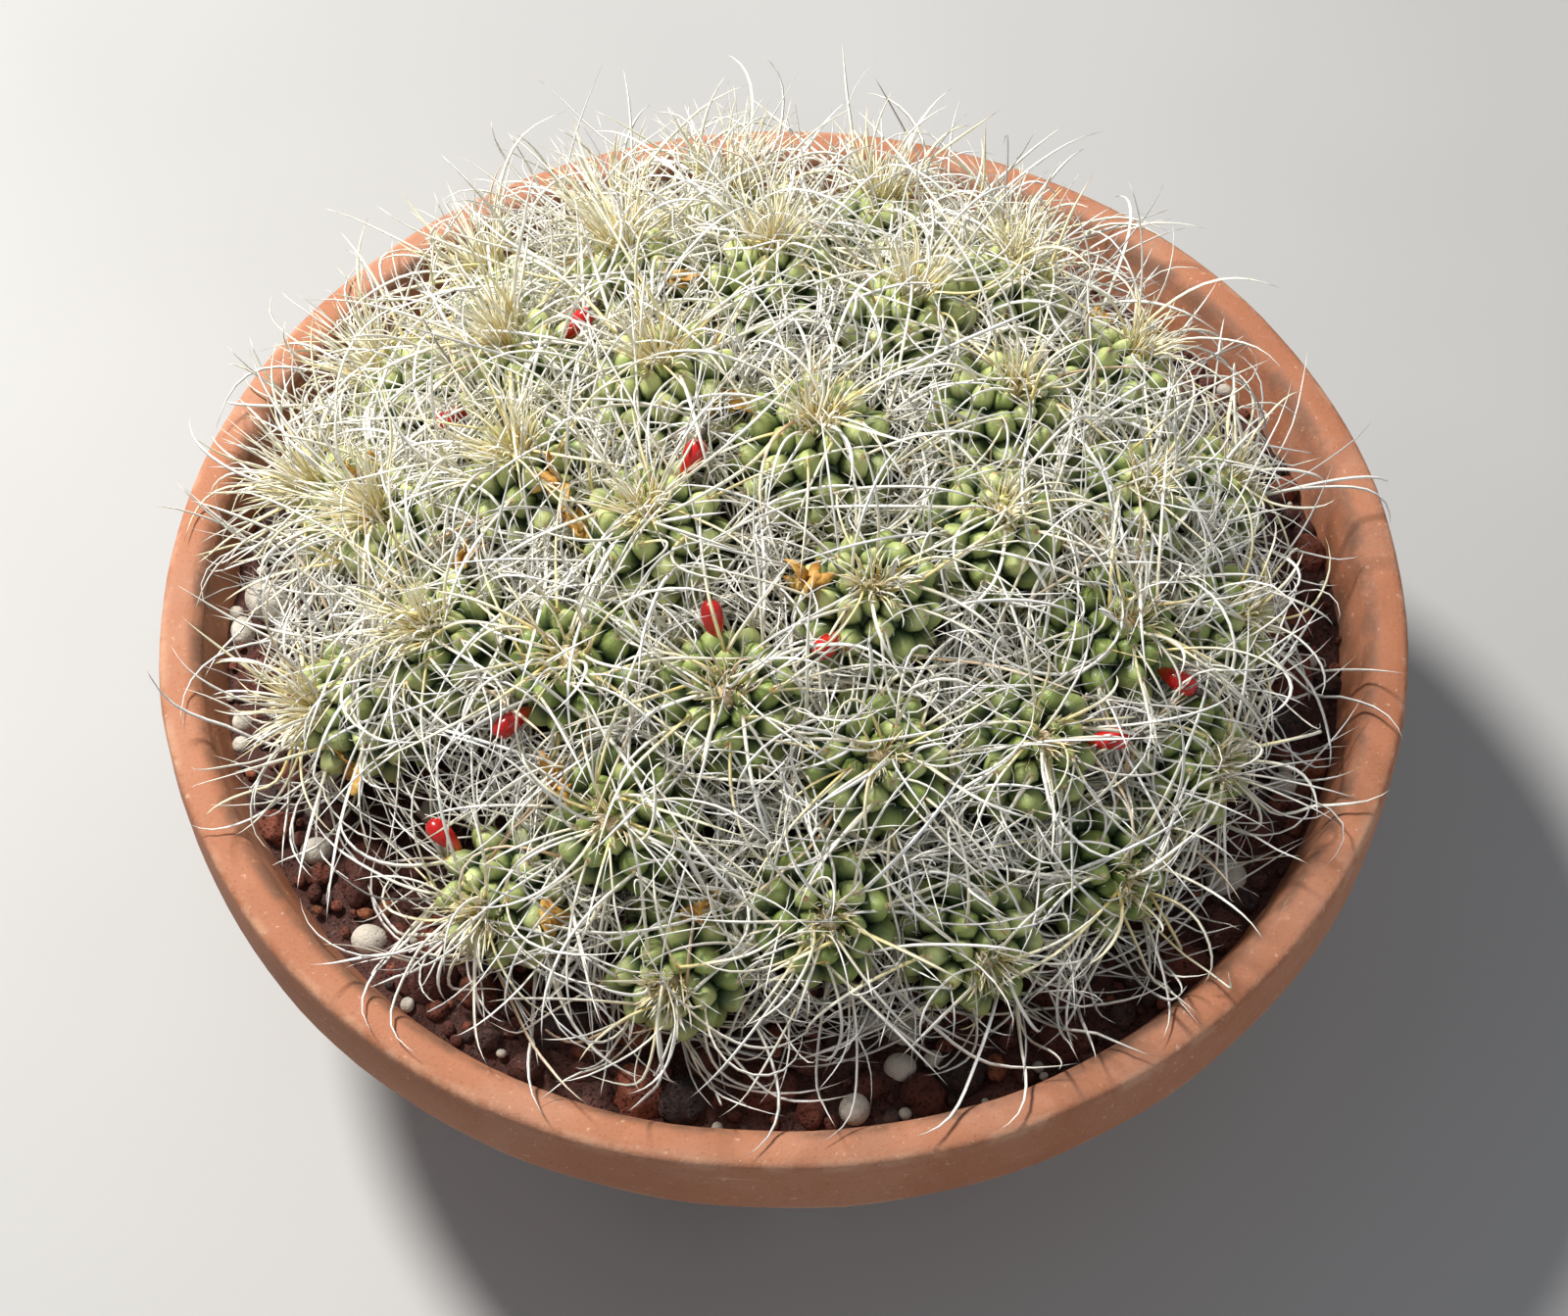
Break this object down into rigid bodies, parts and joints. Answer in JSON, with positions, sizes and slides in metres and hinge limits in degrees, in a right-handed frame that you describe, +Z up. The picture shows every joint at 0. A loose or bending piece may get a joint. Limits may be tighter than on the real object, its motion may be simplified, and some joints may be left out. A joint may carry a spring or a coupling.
{
  "type": "potted mother of hundreds cactus",
  "caption": "Clumping cactus whose globular, tubercled heads with long curved pale spines and red fruits form a low dome in a wide terracotta pan of lava gravel.",
  "frame": {"origin": "middle of the pot's underside, on the surface it stands on", "axes": "+Z up along the pot's axis, -Y towards the viewer of the picture, +X to the viewer's right"},
  "size_m": [0.4, 0.4, 0.2644],
  "materials": {
    "terracotta": "matt, unglazed, with faint mineral bloom",
    "lava_gravel": "rough, porous, red to black",
    "cactus": "waxy green tubercles under ivory spines",
    "red_fruit": "smooth, slightly glossy"
  },
  "bodies": {
    "root": {"pot": "terracotta", "soil": "lava_gravel", "head_01": "cactus", "head_02": "cactus", "head_03": "cactus", "head_04": "cactus", "head_05": "cactus", "head_06": "cactus", "head_07": "cactus", "head_08": "cactus", "head_09": "cactus", "head_10": "cactus", "head_11": "cactus", "head_12": "cactus", "head_13": "cactus", "head_14": "cactus", "head_15": "cactus", "head_16": "cactus", "head_17": "cactus", "head_18": "cactus", "head_19": "cactus", "head_20": "cactus", "head_21": "cactus", "head_22": "cactus", "head_23": "cactus", "head_24": "cactus", "head_25": "cactus", "head_26": "cactus", "head_27": "cactus", "head_28": "cactus", "head_29": "cactus", "head_30": "cactus", "head_31": "cactus", "head_32": "cactus", "head_33": "cactus", "head_34": "cactus", "head_35": "cactus", "head_36": "cactus", "head_37": "cactus", "head_38": "cactus", "fruit_1": "red_fruit", "fruit_2": "red_fruit", "fruit_3": "red_fruit", "fruit_4": "red_fruit", "fruit_5": "red_fruit", "fruit_6": "red_fruit", "fruit_7": "red_fruit", "fruit_8": "red_fruit", "fruit_9": "red_fruit"}
  },
  "joints": []
}
